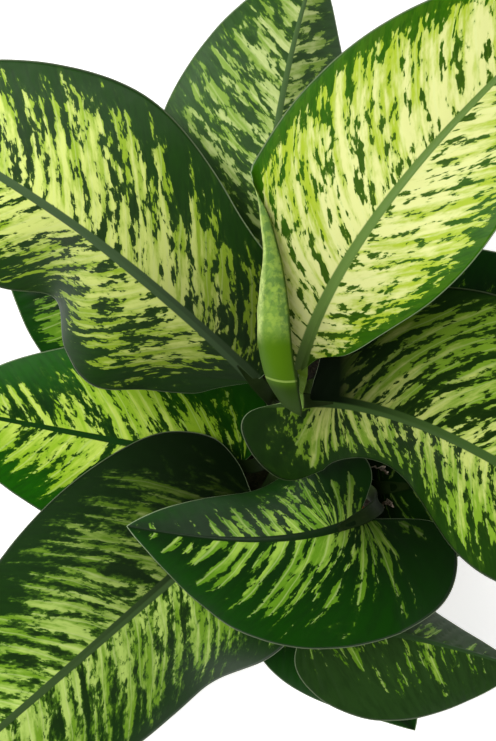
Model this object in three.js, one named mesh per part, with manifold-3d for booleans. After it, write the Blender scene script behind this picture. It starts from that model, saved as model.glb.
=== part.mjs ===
// A potted dieffenbachia (dumb cane): two canes in a clay pot of soil, with twelve broad waved leaves.
// Millimetres. +X and +Y lie in the plane of the pot's foot, +Z is up, and the origin is the middle of
// the pot's flat underside. Every leaf grew as one piece: a petiole that clasps its cane, a midrib that
// stands out below as a keel, and a thin blade.
import * as THREE from 'three';
import { mergeVertices } from 'three/addons/utils/BufferGeometryUtils.js';
import Module from 'manifold-3d';

const wasm = await Module();
wasm.setup();

// ---------- driving dimensions ----------
const GAP = 0.35;                 // clearance between pieces that touch
const BLADE_THICKNESS = 0.9;
const KEEL_DEPTH = 5;             // midrib under the blade, at the blade's base
const KEEL_TIP_DEPTH = 0.6;
const PETIOLE_WIDTH = 13;         // across the sheath, at the cane
const PETIOLE_NECK = 9.5;         // across the petiole, where the blade begins
const PETIOLE_DEPTH = 7;
const PETIOLE_INTO_BLADE = 16;    // how far the petiole runs on into the keel

const POT_HEIGHT = 150;
const POT_RIM_RADIUS = 92;
const POT_RIM_HEIGHT = 32;
const POT_BODY_TOP_RADIUS = 84;
const POT_FOOT_RADIUS = 61;
const POT_WALL = 6;
const POT_FLOOR = 8;
const POT_SIDES = 40;
const DRAIN_RADIUS = 5;
const DRAIN_RING = 34;
const DRAINS = 4;

const SOIL_LEVEL = 128;
const SOIL_BUMP = 2.6;
const SOIL_RINGS = 7;
const SOIL_SIDES = 32;

// scars: distance between the rings that fallen leaves left on the cane
const CANES = {
  cane_1: { foot: [-2, 10, 55], bend: [-16, 20, 190], top: [-14, 30, 322], radius: 10.5, scars: 22 },
  cane_2: { foot: [26, -22, 55], bend: [44, -30, 170], top: [47, -41, 268], radius: 8, scars: 18 },
};

// ---------- the outline that all blades share ----------
// A lateral vein leaves the midrib at VEIN (share of its length) and ends on the margin at ALONG (share of
// the length) and ACROSS (share of the half width). BACK is how a basal lobe reaches behind the base.
const VEIN = [0, 0.03, 0.08, 0.16, 0.27, 0.40, 0.54, 0.68, 0.82, 0.93, 1];
const ALONG = [0, -0.075, -0.08, 0.02, 0.20, 0.40, 0.59, 0.76, 0.89, 0.965, 1];
const ACROSS = [0, 0.28, 0.56, 0.83, 0.97, 1, 0.88, 0.63, 0.33, 0.12, 0];
const BACK = [0, 0.8, 1, 0.9, 0.55, 0.2, 0, 0, 0, 0, 0];
const VEIN_SWEEP = 0.55;          // share of a vein's run toward the tip that is straight
const ARCH = -20;                 // degrees that a blade's half bends down from midrib to margin

// ---------- the leaves ----------
// base, crest and tip are the midrib's curve. left and right are seen from the petiole toward the tip:
// fold is the angle at which that half leaves the midrib, from base to tip, degrees up. wide scales its
// half width, back lengthens its basal lobe, and roll turns its basal margin over: degrees, and the share
// of the half width where the turn starts, over the first half of the veins.
// stem: cane, height and direction (degrees) where the petiole leaves it, and how far it rises and leans.
const LEAVES = {
  leaf_a: {
    base: [-8, 41, 425], crest: [9, 134, 510], tip: [178, 278, 470], width: 174,
    left: {
      fold: [10, 5, 0, 0, -5], arch: -15, back: -0.02, wide: [1.15, 1.1, 0.89, 0.99, 1.13, 1.22, 1.2],
      roll: { turn: 225, start: [0.1, 0.12, 0.2, 0.45, 1, 1] },
    },
    right: { fold: [44, 48, 50, 50, 45], arch: -15, back: -0.22, wide: [0.6, 0.62, 0.8, 0.95, 1, 1, 1] },
    stem: { cane: 'cane_1', height: 292, azimuth: 80, rise: 60, lean: 30 },
    rows: 16, columns: 7, colour: 0xc9d27a,
  },
  leaf_b: {
    base: [-35, 35, 398], crest: [-131, 136, 450], tip: [-298, 222, 370], width: 184,
    left: { fold: [-45, -40, -27, -36, -53, -32, -22, -20, -20], back: -0.12, arch: -12 },
    right: {
      fold: [15, 40, 22, 5, 0, 0], arch: -10, back: -0.1,
      wide: [0.9, 0.85, 0.9, 1.06, 1.18, 1.22, 1.17],
    },
    stem: { cane: 'cane_1', height: 262, azimuth: 170, rise: 70, lean: 30 },
    rows: 16, columns: 5, colour: 0x8fae4a,
  },
  leaf_c: {
    base: [-31, 88, 370], crest: [-30, 195, 430], tip: [6, 312, 360], width: 160,
    left: { fold: [0, 0, -5, -5, 0] },
    right: { fold: [0, -20, -35, -35, -30], wide: [0.95, 0.95] },
    stem: { cane: 'cane_1', height: 240, azimuth: 112, rise: 70, lean: 40 },
    rows: 13, columns: 5, colour: 0x7d9a5a,
  },
  leaf_d: {
    base: [-2, 23, 398], crest: [86, 24, 430], tip: [251, -109, 330], width: 196,
    left: { fold: [20, 15, 10, 5, 0], arch: -10, back: -0.14, wide: [0.8, 0.9, 1, 1, 1] },
    right: {
      fold: [-30, -40, -48, -50, -40, -18, -5, 0, 0], arch: -18, back: 0.18,
      wide: [0.1, 0.82, 0.56, 0.56, 0.74, 0.96, 1.08, 1.12, 1.12],
    },
    stem: { cane: 'cane_1', height: 276, azimuth: 330, rise: 70, lean: 22 },
    rows: 16, columns: 5, colour: 0x6f9440,
  },
  leaf_e: {
    base: [-46, -27, 248], crest: [-138, -7, 270], tip: [-282, 17, 220], width: 150,
    left: { fold: [0, 0] },
    right: { fold: [0, 0] },
    stem: { cane: 'cane_1', height: 172, azimuth: 226, rise: 35, lean: 30 },
    rows: 13, columns: 5, colour: 0x5f9c34,
  },
  leaf_f: {
    base: [-35, -52, 280], crest: [-129, -135, 305], tip: [-318, -304, 220], width: 200,
    left: { fold: [-5, -8, -26, -20, -10, -8], wide: [1, 1, 1.03, 1.05, 1.03, 1] },
    right: { fold: [-8, -8], back: -0.04, wide: [1.03, 1.03] },
    stem: { cane: 'cane_1', height: 190, azimuth: 286, rise: 60, lean: 30 },
    rows: 15, columns: 5, colour: 0x567f36,
  },
  leaf_g: {
    base: [33, -56, 350], crest: [-16, -78, 372], tip: [-123, -64, 318], width: 164,
    left: { fold: [0, 0, 0, -10, -20], back: 0.43, wide: [1, 1.14, 1.02, 0.93, 0.95, 0.97, 1] },
    right: { fold: [-30, -42, -54, -56, -35], back: 0.2 },
    stem: { cane: 'cane_2', height: 236, azimuth: 200, rise: 60, lean: 35 },
    rows: 14, columns: 5, colour: 0x3f7a28,
  },
  leaf_h: {
    base: [7, -143, 235], crest: [78, -145, 257], tip: [165, -180, 222], width: 130,
    left: { fold: [0, -20, -48, -60, -50], wide: [1, 1, 0.9, 0.75, 0.6, 0.5, 0.45] },
    right: { fold: [0, 0, 0, -5, -10], wide: [1.03, 1.05, 1.06, 1.08, 1.2, 1.35, 1.35] },
    stem: { cane: 'cane_2', height: 190, azimuth: 262, rise: 30, lean: 40 },
    rows: 12, columns: 5, colour: 0x35602e,
  },
  leaf_i: {
    base: [-65, 41, 215], crest: [-141, 72, 240], tip: [-226, 125, 190], width: 122,
    left: { fold: [0, 0] },
    right: { fold: [0, 0] },
    stem: { cane: 'cane_1', height: 156, azimuth: 160, rise: 25, lean: 25 },
    rows: 11, columns: 4, colour: 0x35602e,
  },
  leaf_j: {
    base: [35, 46, 300], crest: [90, 76, 335], tip: [191, 102, 280], width: 118,
    left: { fold: [0, 0] },
    right: { fold: [0, 0] },
    stem: { cane: 'cane_1', height: 208, azimuth: 20, rise: 45, lean: 30 },
    rows: 11, columns: 4, colour: 0x35602e,
  },
  leaf_k: {
    base: [57, -40, 287], crest: [103, -36, 306], tip: [188, -56, 255], width: 112,
    left: { fold: [0, 0], back: 0.2 },
    right: { fold: [0, 0], back: 0.2, wide: [1.2, 1.2, 1, 0.88, 0.85, 0.85] },
    stem: { cane: 'cane_2', height: 214, azimuth: 0, rise: 40, lean: 20 },
    rows: 11, columns: 4, colour: 0x35602e,
  },
  leaf_l: {
    base: [0, -137, 190], crest: [26, -180, 205], tip: [90, -238, 170], width: 104,
    left: { fold: [0, 0], wide: [1, 1, 1, 1, 1.15, 1.35, 1.5] },
    right: { fold: [-8, -12, -18, -25, -20], wide: [1.1, 1.1, 1, 0.9, 0.8, 0.6, 0.5] },
    stem: { cane: 'cane_2', height: 160, azimuth: 235, rise: 20, lean: 35 },
    rows: 11, columns: 4, colour: 0x35602e,
  },
};

// ---------- small mathematics ----------
const UP = new THREE.Vector3(0, 0, 1);
const vector = (values) => new THREE.Vector3(...values);
const radians = THREE.MathUtils.degToRad;
const clamp = THREE.MathUtils.clamp;
const mix = THREE.MathUtils.lerp;

// smooth curve through the points (xs, ys)
function through(xs, ys, x) {
  const last = xs.length - 1;
  const slope = (k) => {
    const a = Math.max(k - 1, 0);
    const b = Math.min(k + 1, last);
    return (ys[b] - ys[a]) / (xs[b] - xs[a]);
  };
  let i = 0;
  while (i < last - 1 && x >= xs[i + 1]) i += 1;
  const h = xs[i + 1] - xs[i];
  const t = (x - xs[i]) / h;
  const t2 = t * t;
  const t3 = t2 * t;
  return (2 * t3 - 3 * t2 + 1) * ys[i] + (t3 - 2 * t2 + t) * h * slope(i)
    + (3 * t2 - 2 * t3) * ys[i + 1] + (t3 - t2) * h * slope(i + 1);
}

// smooth curve through values spaced evenly from 0 to 1
function evenly(values, x) {
  const places = values.map((_, k) => k / (values.length - 1));
  return through(places, values, clamp(x, 0, 1));
}

// ---------- solids ----------
function solidOf(geometry) {
  const bare = geometry.clone();
  bare.deleteAttribute('normal');
  bare.deleteAttribute('uv');
  const merged = mergeVertices(bare, 1e-4);
  return new wasm.Manifold(new wasm.Mesh({
    numProp: 3,
    vertProperties: new Float32Array(merged.attributes.position.array),
    triVerts: new Uint32Array(merged.index.array),
  }));
}

function largestBody(solid) {
  const bodies = solid.decompose();
  bodies.sort((a, b) => b.volume() - a.volume());
  return bodies[0];
}

function geometryOf(solid) {
  const mesh = solid.getMesh();
  const geometry = new THREE.BufferGeometry();
  geometry.setAttribute('position', new THREE.BufferAttribute(new Float32Array(mesh.vertProperties), 3));
  geometry.setIndex(new THREE.BufferAttribute(new Uint32Array(mesh.triVerts), 1));
  geometry.computeVertexNormals();
  return geometry;
}

// closed skin over rings of points, each ring counter-clockwise seen against the run of the rings
function loft(rings) {
  const sides = rings[0].length;
  const points = rings.flat();
  const faces = [];
  for (let r = 0; r + 1 < rings.length; r += 1) {
    for (let k = 0; k < sides; k += 1) {
      const a = r * sides + k;
      const b = r * sides + ((k + 1) % sides);
      faces.push(a, b, b + sides, a, b + sides, a + sides);
    }
  }
  const centre = (ring) => ring.reduce((sum, p) => sum.add(p), new THREE.Vector3())
    .divideScalar(sides);
  const first = points.push(centre(rings[0])) - 1;
  const last = points.push(centre(rings[rings.length - 1])) - 1;
  const end = (rings.length - 1) * sides;
  for (let k = 0; k < sides; k += 1) {
    const next = (k + 1) % sides;
    faces.push(first, next, k, last, end + k, end + next);
  }
  const geometry = new THREE.BufferGeometry().setFromPoints(points);
  geometry.setIndex(faces);
  return geometry;
}

// ---------- canes ----------
const CANE_SIDES = 12;
const SCAR_SWELL = 0.09;          // how much thicker a cane is at its leaf scars
const CANE_TOP_SHARE = 0.72;      // of the radius, where the top ends under its youngest petiole

function caneAxis(cane) {
  return new THREE.QuadraticBezierCurve3(vector(cane.foot), vector(cane.bend), vector(cane.top));
}

// one station at every scar and one halfway to the next
function caneSkin(cane, grow) {
  const axis = caneAxis(cane);
  const stations = 2 * Math.round(axis.getLength() / cane.scars);
  const rings = [];
  for (let k = 0; k <= stations; k += 1) {
    const middle = axis.getPointAt(k / stations);
    const swell = k % 2 === 1 ? 1 + SCAR_SWELL : 1;
    const radius = cane.radius * (k === stations ? CANE_TOP_SHARE : swell) + grow;
    const lift = (k === stations ? grow : 0) - (k === 0 ? grow : 0);
    const ring = [];
    for (let n = 0; n < CANE_SIDES; n += 1) {
      const angle = 2 * Math.PI * n / CANE_SIDES;
      ring.push(middle.clone().add(new THREE.Vector3(
        radius * Math.cos(angle), radius * Math.sin(angle), lift)));
    }
    rings.push(ring);
  }
  return loft(rings);
}

// ---------- petioles ----------
const PETIOLE_STATIONS = 11;
const ARC_POINTS = 4;             // points on each of the section's two arcs
const SHEATH_SHARE = 0.3;         // share of the petiole that hugs the cane
const SHEATH_CHANNEL = 2.2;       // depth of the channel along the petiole, at the cane
const NECK_CHANNEL = 0.8;
const KEEL_END_SHARE = 0.45;      // of the neck's width, where the petiole ends in the keel
const KEEL_END_DEPTH = 4;
const SINK_FROM = 0.8;            // share of the petiole after which it sinks below the blade
const SINK_OVER = 0.3;
const BACK_WIDTH = 0.92;          // of the front arc's width, for the rounded back
const BACK_ROUND = 0.72;          // share of the depth by which the back is rounded

function caneAt(cane, height) {
  const axis = caneAxis(cane);
  let low = 0;
  let high = 1;
  for (let step = 0; step < 30; step += 1) {
    const middle = (low + high) / 2;
    if (axis.getPoint(middle).z < height) low = middle;
    else high = middle;
  }
  return axis.getPoint(low);
}

function petiolePath(leaf) {
  const cane = CANES[leaf.stem.cane];
  const angle = radians(leaf.stem.azimuth);
  const outward = new THREE.Vector3(Math.cos(angle), Math.sin(angle), 0);
  const base = vector(leaf.base);
  const into = vector(leaf.crest).sub(base).normalize();
  const foot = caneAt(cane, leaf.stem.height)
    .addScaledVector(outward, cane.radius + PETIOLE_DEPTH / 3);
  const risen = foot.clone().addScaledVector(UP, leaf.stem.rise).addScaledVector(outward, 3);
  const neck = base.clone().addScaledVector(into, -leaf.stem.lean);
  return { curve: new THREE.CubicBezierCurve3(foot, risen, neck, base), outward, into };
}

// a crescent against the cane that closes to a channelled half round toward the blade
function petioleSection(leaf, path, u, grow) {
  const at = path.curve.getPoint(Math.min(u, 1));
  const tangent = path.curve.getTangent(Math.min(u, 1));
  if (u > 1) at.addScaledVector(path.into, (u - 1) * PETIOLE_INTO_BLADE);
  const heading = path.outward.clone().lerp(path.into, clamp(u, 0, 1)).setZ(0).normalize();
  const side = UP.clone().cross(heading);
  side.addScaledVector(tangent, -side.dot(tangent)).normalize();
  const inward = tangent.clone().cross(side);
  const opened = clamp((u - SHEATH_SHARE) / (1 - SHEATH_SHARE), 0, 1);
  const ending = clamp(u - 1, 0, 1);
  const taper = mix(1, KEEL_END_SHARE, ending);
  const half = mix(PETIOLE_WIDTH, PETIOLE_NECK, opened) / 2 * taper + grow;
  const depth = mix(PETIOLE_DEPTH, KEEL_END_DEPTH, ending) + 2 * grow;
  const channel = mix(SHEATH_CHANNEL, NECK_CHANNEL, opened) * taper;
  const sunk = KEEL_DEPTH / 2 * clamp((u - SINK_FROM) / SINK_OVER, 0, 1);
  const ring = [];
  for (let k = 0; k < ARC_POINTS; k += 1) {
    const share = -1 + 2 * k / (ARC_POINTS - 1);
    ring.push([share * half, depth / 2 - channel * (1 - share * share)]);
  }
  for (let k = ARC_POINTS - 1; k >= 0; k -= 1) {
    const share = BACK_WIDTH * (-1 + 2 * k / (ARC_POINTS - 1));
    ring.push([share * half, -depth / 2 + depth * BACK_ROUND * share * share]);
  }
  return ring.reverse().map(([x, y]) => at.clone()
    .addScaledVector(side, x).addScaledVector(inward, y - sunk));
}

function petioleSkin(leaf, grow) {
  const path = petiolePath(leaf);
  const rings = [];
  for (let k = 0; k <= PETIOLE_STATIONS; k += 1) {
    rings.push(petioleSection(leaf, path, k / PETIOLE_STATIONS, grow));
  }
  rings.push(petioleSection(leaf, path, 1.5, grow));
  rings.push(petioleSection(leaf, path, 2, grow));
  return loft(rings);
}

// ---------- blades ----------
// point of a blade for the vein that leaves the midrib at s, t of the way to the margin
function bladePoint(leaf, sign, s, t) {
  const half = sign > 0 ? leaf.left : leaf.right;
  const halfWidth = leaf.width / 2;
  const marginX = through(VEIN, ALONG, s) - (half.back ?? 0) * through(VEIN, BACK, s);
  const marginY = through(VEIN, ACROSS, s) * halfWidth * evenly(half.wide ?? [1, 1], s);
  const x = s + (marginX - s) * (VEIN_SWEEP * t + (1 - VEIN_SWEEP) * t * t);
  const y = marginY * t;

  const [base, crest, tip] = [leaf.base, leaf.crest, leaf.tip].map(vector);
  const u = clamp(x, 0, 1);
  const midrib = new THREE.QuadraticBezierCurve3(base, crest, tip);
  const at = midrib.getPoint(u);
  if (x < 0) at.addScaledVector(crest.clone().sub(base), 2 * x);
  const run = crest.clone().sub(base).multiplyScalar(1 - u)
    .addScaledVector(tip.clone().sub(crest), u).normalize();
  const side = UP.clone().cross(run).normalize();
  const above = run.clone().cross(side);

  const fold = radians(evenly(half.fold, x));
  const bend = radians(half.arch ?? ARCH) / halfWidth;
  let out = (Math.sin(fold + bend * y) - Math.sin(fold)) / bend;
  let lift = (Math.cos(fold) - Math.cos(fold + bend * y)) / bend;
  if (half.roll) {
    const start = clamp(evenly(half.roll.start, 2 * s), 0.05, 1);
    const turnY = start * marginY;
    if (y > turnY) {
      const ease = clamp((1 - start) / 0.3, 0, 1);
      const strip = Math.max((1 - start) * marginY, 4);
      const roll = ease * ease * (3 - 2 * ease) * radians(half.roll.turn) / strip + bend;
      const angle = fold + bend * turnY;
      out = (Math.sin(angle) - Math.sin(fold)) / bend
        + (Math.sin(angle + roll * (y - turnY)) - Math.sin(angle)) / roll;
      lift = (Math.cos(fold) - Math.cos(angle)) / bend
        + (Math.cos(angle) - Math.cos(angle + roll * (y - turnY))) / roll;
    }
  }
  return at.addScaledVector(side, sign * out).addScaledVector(above, lift);
}

const KEEL_SHARE = 0.055;         // half width of the keel as a share of the blade's half width

function bladeSkin(leaf) {
  const { rows, columns } = leaf;
  const shares = [KEEL_SHARE];
  for (let k = 1; k < columns; k += 1) shares.push(KEEL_SHARE + (1 - KEEL_SHARE) * k / (columns - 1));
  const across = [...shares.map((t) => [1, t]).reverse(), [1, 0], ...shares.map((t) => [-1, t])];
  const count = across.length;
  const middle = [vector(leaf.base)];
  const keel = [KEEL_DEPTH];
  for (let r = 1; r < rows; r += 1) {
    const s = (r / rows) ** 1.25;
    for (const [sign, t] of across) {
      middle.push(bladePoint(leaf, sign, s, t));
      keel.push(t === 0 ? mix(KEEL_DEPTH, KEEL_TIP_DEPTH, s) : 0);
    }
  }
  const tip = middle.push(vector(leaf.tip)) - 1;
  keel.push(0);

  const faces = [];
  const place = (r, c) => 1 + (r - 1) * count + c;
  for (let c = 0; c + 1 < count; c += 1) {
    faces.push([0, place(1, c + 1), place(1, c)]);
    for (let r = 1; r + 1 < rows; r += 1) {
      const [a, b, d, e] = [place(r, c), place(r, c + 1), place(r + 1, c), place(r + 1, c + 1)];
      if (c < count / 2 - 1) faces.push([a, b, d], [b, e, d]);
      else faces.push([a, b, e], [a, e, d]);
    }
    faces.push([place(rows - 1, c), place(rows - 1, c + 1), tip]);
  }

  const normals = middle.map(() => new THREE.Vector3());
  for (const [a, b, c] of faces) {
    const normal = middle[b].clone().sub(middle[a]).cross(middle[c].clone().sub(middle[a]));
    for (const k of [a, b, c]) normals[k].add(normal);
  }
  const top = middle.map((p, k) => p.clone().addScaledVector(normals[k].normalize(), BLADE_THICKNESS / 2));
  const under = middle.map((p, k) => p.clone()
    .addScaledVector(normals[k], -BLADE_THICKNESS / 2 - keel[k]));
  const size = middle.length;
  const index = [];
  for (const [a, b, c] of faces) index.push(a, b, c, a + size, c + size, b + size);

  const edge = [0];
  for (let r = 1; r < rows; r += 1) edge.push(place(r, 0));
  edge.push(tip);
  for (let r = rows - 1; r > 0; r -= 1) edge.push(place(r, count - 1));
  for (let k = 0; k < edge.length; k += 1) {
    const a = edge[k];
    const b = edge[(k + 1) % edge.length];
    index.push(a, b, b + size, a, b + size, a + size);
  }
  const geometry = new THREE.BufferGeometry().setFromPoints([...top, ...under]);
  geometry.setIndex(index);
  return geometry;
}

// ---------- pot and soil ----------
function cylinder(radius, bottom, top, x, y) {
  const geometry = new THREE.CylinderGeometry(radius, radius, top - bottom, 12);
  geometry.rotateX(Math.PI / 2);
  geometry.translate(x, y, (top + bottom) / 2);
  return geometry;
}

const POT_ROUND = 3;              // rounding of the foot and the rim
const POT_LIP = 2;                // rounding of the mouth and of the rim's lower edge
const POT_FILLET = 4;             // inside, where wall and floor meet and below the rim
const POT_COLLAR = POT_HEIGHT - POT_RIM_HEIGHT;

function potSkin() {
  const profile = [
    [0, 0], [POT_FOOT_RADIUS - POT_ROUND, 0], [POT_FOOT_RADIUS, POT_ROUND],
    [POT_BODY_TOP_RADIUS, POT_COLLAR], [POT_RIM_RADIUS - POT_LIP, POT_COLLAR],
    [POT_RIM_RADIUS - POT_LIP / 4, POT_COLLAR + POT_LIP],
    [POT_RIM_RADIUS, POT_HEIGHT - POT_ROUND], [POT_RIM_RADIUS - POT_LIP, POT_HEIGHT],
    [POT_RIM_RADIUS - POT_WALL, POT_HEIGHT],
    [POT_RIM_RADIUS - POT_WALL - POT_LIP, POT_HEIGHT - POT_LIP],
    [POT_BODY_TOP_RADIUS - POT_WALL, POT_COLLAR - POT_FILLET],
    [POT_FOOT_RADIUS - POT_WALL, POT_FLOOR + POT_FILLET],
    [POT_FOOT_RADIUS - POT_WALL - POT_FILLET, POT_FLOOR], [0, POT_FLOOR],
  ].map(([r, z]) => new THREE.Vector2(r, z));
  const geometry = new THREE.LatheGeometry(profile, POT_SIDES);
  geometry.rotateX(Math.PI / 2);
  return geometry;
}

function potSolid() {
  let pot = solidOf(potSkin());
  for (let k = 0; k < DRAINS; k += 1) {
    const angle = 2 * Math.PI * (k + 0.5) / DRAINS;
    const hole = cylinder(DRAIN_RADIUS, -1, POT_FLOOR + 1,
      DRAIN_RING * Math.cos(angle), DRAIN_RING * Math.sin(angle));
    pot = pot.subtract(solidOf(hole));
  }
  return pot;
}

// crumbs of soil: long waves across each other, and shorter and lower ones on top of them
function soilHeight(x, y) {
  const long = Math.sin(x / 5.3 + y / 9) * Math.cos(y / 6.1 - x / 11);
  const short = Math.sin(x / 2.7) * Math.sin(y / 3.1);
  return SOIL_LEVEL + SOIL_BUMP * (1 + long + 0.6 * short);
}

function soilSkin() {
  const low = POT_FLOOR + POT_FILLET;
  const high = POT_COLLAR - POT_FILLET;
  const wall = (z) => mix(POT_FOOT_RADIUS, POT_BODY_TOP_RADIUS, (z - low) / (high - low))
    - POT_WALL - 2 * GAP;
  const above = low + POT_LIP;
  const rings = [
    ringAt(POT_FOOT_RADIUS - POT_WALL - POT_FILLET - 1, () => POT_FLOOR + GAP),
    ringAt(wall(above), () => above),
    ringAt(wall(high), () => high),
    ringAt(wall(high) + 1, () => SOIL_LEVEL),
  ];
  for (let k = 1; k <= SOIL_RINGS; k += 1) {
    rings.push(ringAt(wall(high) * (1 - k / (SOIL_RINGS + 0.5)), soilHeight));
  }
  return loft(rings);
}

function ringAt(radius, height) {
  const ring = [];
  for (let n = 0; n < SOIL_SIDES; n += 1) {
    const angle = 2 * Math.PI * n / SOIL_SIDES;
    const x = radius * Math.cos(angle);
    const y = radius * Math.sin(angle);
    ring.push(new THREE.Vector3(x, y, height(x, y)));
  }
  return ring;
}

// ---------- the plant ----------
const plant = new THREE.Group();

function place(name, geometry, colour, roughness) {
  const material = new THREE.MeshStandardMaterial({ color: colour, roughness, metalness: 0 });
  const mesh = new THREE.Mesh(geometry, material);
  mesh.name = name;
  plant.add(mesh);
}

place('pot', geometryOf(potSolid()), 0xb0623c, 0.85);

let soil = solidOf(soilSkin());
for (const cane of Object.values(CANES)) soil = soil.subtract(solidOf(caneSkin(cane, GAP)));
place('soil', geometryOf(largestBody(soil)), 0x2c211a, 0.95);

for (const [name, cane] of Object.entries(CANES)) place(name, caneSkin(cane, 0), 0x7d8a5c, 0.6);

for (const [name, leaf] of Object.entries(LEAVES)) {
  let solid = solidOf(bladeSkin(leaf)).add(solidOf(petioleSkin(leaf, 0)));
  for (const cane of Object.values(CANES)) solid = solid.subtract(solidOf(caneSkin(cane, GAP)));
  for (const other of Object.values(LEAVES)) {
    if (other.stem.cane === leaf.stem.cane && other.stem.height > leaf.stem.height) {
      solid = solid.subtract(solidOf(petioleSkin(other, GAP)));
    }
  }
  place(name, geometryOf(largestBody(solid)), leaf.colour, 0.45);
}

export default plant;
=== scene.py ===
# A potted dieffenbachia, photographed from straight above its crown, so that the leaves hide the pot.
# Metres, +Z up, the origin in the middle of the pot's underside, +Y to the top of the photograph.
import math
import bpy
import numpy as np
from mathutils import Matrix, Vector


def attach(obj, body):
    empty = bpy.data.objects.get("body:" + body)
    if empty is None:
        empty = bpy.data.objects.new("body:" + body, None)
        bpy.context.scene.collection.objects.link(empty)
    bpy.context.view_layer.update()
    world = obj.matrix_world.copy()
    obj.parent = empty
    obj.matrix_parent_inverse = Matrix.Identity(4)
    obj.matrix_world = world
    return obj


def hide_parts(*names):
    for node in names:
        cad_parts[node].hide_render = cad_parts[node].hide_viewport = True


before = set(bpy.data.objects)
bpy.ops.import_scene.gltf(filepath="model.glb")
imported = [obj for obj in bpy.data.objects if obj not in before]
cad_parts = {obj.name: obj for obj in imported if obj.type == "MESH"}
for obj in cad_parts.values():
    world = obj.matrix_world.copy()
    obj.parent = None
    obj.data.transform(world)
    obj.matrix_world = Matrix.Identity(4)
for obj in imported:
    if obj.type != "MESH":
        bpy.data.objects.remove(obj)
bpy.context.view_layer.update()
MM = 0.001


# ---------- the studio ----------
# A white table under soft lamps, the brightest one high over the plant, and the camera straight above the
# crown, upright. The lens and the height of its picture are in millimetres.
CAMERA_PLACE = (-40 * MM, 42 * MM, 1370 * MM)
CAMERA_LENS = 75
CAMERA_PICTURE = 36
TABLE_SIZE = 14.0
TABLE_WHITE = (0.90, 0.90, 0.89, 1)
TABLE_GLOW = 0.54
SKY_STRENGTH = 0.12
WHITE = (1, 1, 1, 1)
LAMPS = {
    "lamp_above": dict(place=(-0.9, 0.3, 3.3), size=1.3, power=76, gloss=False),
    "lamp_upper_left": dict(place=(-1.9, 2.0, 2.0), size=1.2, power=44, gloss=True),
    "lamp_below": dict(place=(0.5, -2.2, 2.4), size=1.5, power=27, gloss=False),
}


class Value:
    """One output of a node. An expression on values adds its Math nodes."""

    def __init__(self, maker, socket):
        self.maker = maker
        self.socket = socket

    def maths(self, operation, *terms):
        return self.maker.add("ShaderNodeMath", {"operation": operation}, dict(enumerate(terms)))

    def __add__(self, other):
        return self.maths("ADD", self, other)

    def __sub__(self, other):
        return self.maths("SUBTRACT", self, other)

    def __rsub__(self, other):
        return self.maths("SUBTRACT", other, self)

    def __mul__(self, other):
        return self.maths("MULTIPLY", self, other)

    def __truediv__(self, other):
        return self.maths("DIVIDE", self, other)

    def __rtruediv__(self, other):
        return self.maths("DIVIDE", other, self)

    def __pow__(self, other):
        return self.maths("POWER", self, other)

    def __abs__(self):
        return self.maths("ABSOLUTE", self)

    def sine(self):
        return self.maths("SINE", self)

    def fraction(self):
        return self.maths("FRACT", self)

    def limited(self):
        return self.maker.add("ShaderNodeClamp", {}, {0: self})

    def rising(self, start, end):
        """0 below start, 1 above end, and smooth between them."""
        return self.maker.add("ShaderNodeMapRange", {"interpolation_type": "SMOOTHSTEP"},
                              {"Value": self, "From Min": start, "From Max": end})

    __radd__ = __add__
    __rmul__ = __mul__


class Maker:
    """Adds nodes to one tree: a node's settings are set before the values or links of its sockets."""

    def __init__(self, tree):
        self.tree = tree

    def add(self, kind, settings=None, sockets=None, output=0):
        node = self.tree.nodes.new(kind)
        for name, setting in (settings or {}).items():
            setattr(node, name, setting)
        for key, value in (sockets or {}).items():
            if isinstance(value, Value):
                self.tree.links.new(value.socket, node.inputs[key])
            else:
                node.inputs[key].default_value = value
        return Value(self, node.outputs[output])

    def noise(self, place, scale, detail=2.0, roughness=0.5):
        return self.add("ShaderNodeTexNoise", {}, {"Vector": place, "Scale": scale, "Detail": detail,
                                                   "Roughness": roughness})

    def vector(self, x, y, z):
        return self.add("ShaderNodeCombineXYZ", {}, {0: x, 1: y, 2: z})

    def parts(self, vector):
        return [self.add("ShaderNodeSeparateXYZ", {}, {0: vector}, output=k) for k in range(3)]

    def mix(self, share, first, second):
        """The first colour where share is 0 and the second where it is 1."""
        return self.add("ShaderNodeMix", {"data_type": "RGBA"}, {0: share, 6: first, 7: second}, output=2)

    def bump(self, height, strength, distance):
        return self.add("ShaderNodeBump", {}, {"Height": height, "Strength": strength,
                                               "Distance": distance})


def finish_with(name, colour, roughness, normal=None, constants=None):
    """A material of one Principled shader. colour, roughness and normal are functions of its Maker."""
    material = bpy.data.materials.new(name)
    material.use_nodes = True
    maker = Maker(material.node_tree)
    shader = material.node_tree.nodes["Principled BSDF"]
    for key, value in (constants or {}).items():
        shader.inputs[key].default_value = value
    made = {"Base Color": colour(maker), "Roughness": roughness(maker)}
    if normal:
        made["Normal"] = normal(maker)
    for key, value in made.items():
        if isinstance(value, Value):
            maker.tree.links.new(value.socket, shader.inputs[key])
        else:
            shader.inputs[key].default_value = value
    return material


camera = bpy.data.objects.new("camera", bpy.data.cameras.new("camera"))
camera.data.lens = CAMERA_LENS
camera.data.sensor_fit = "VERTICAL"
camera.data.sensor_height = CAMERA_PICTURE
camera.location = CAMERA_PLACE
bpy.context.scene.collection.objects.link(camera)
bpy.context.scene.camera = camera
bpy.context.scene.view_settings.view_transform = "Standard"

for name, lamp in LAMPS.items():
    light = bpy.data.lights.new(name, "AREA")
    light.size = lamp["size"]
    light.energy = lamp["power"]
    lamp_object = bpy.data.objects.new(name, light)
    lamp_object.visible_glossy = lamp["gloss"]
    lamp_object.location = lamp["place"]
    lamp_object.rotation_euler = (-Vector(lamp["place"])).to_track_quat("-Z", "Y").to_euler()
    bpy.context.scene.collection.objects.link(lamp_object)

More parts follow.
